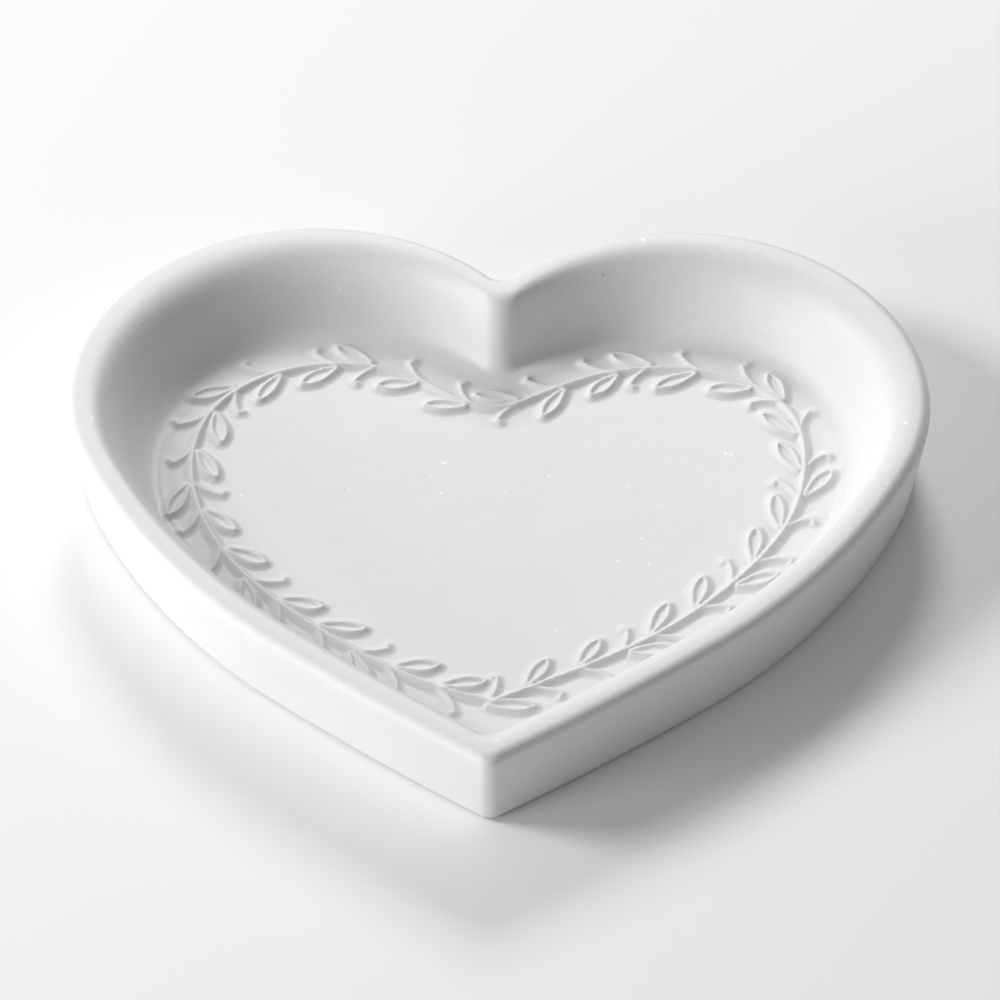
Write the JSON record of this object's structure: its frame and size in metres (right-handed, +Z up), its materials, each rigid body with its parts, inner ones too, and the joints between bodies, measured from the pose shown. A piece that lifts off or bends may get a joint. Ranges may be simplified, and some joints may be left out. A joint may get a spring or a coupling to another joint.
{
  "type": "trinket dish",
  "caption": "Shallow heart-shaped open dish for rings and trinkets, with a leafy vine raised on its floor and round felt pads under its base",
  "frame": {"origin": "on the surface it stands on, under the middle of the bounding box", "axes": "+X to the right across the two lobes, +Y from the pointed tip to the cleft between the lobes, +Z up"},
  "size_m": [0.1294, 0.1139, 0.0154],
  "materials": {
    "white_ceramic": "matt white cast body with a soft satin sheen, fine speckle and a few pinholes",
    "felt": "pressed light grey felt"
  },
  "bodies": {
    "root": {"dish_body": "white_ceramic", "pad_left_lobe": "felt", "pad_right_lobe": "felt", "pad_tip": "felt"}
  },
  "joints": []
}
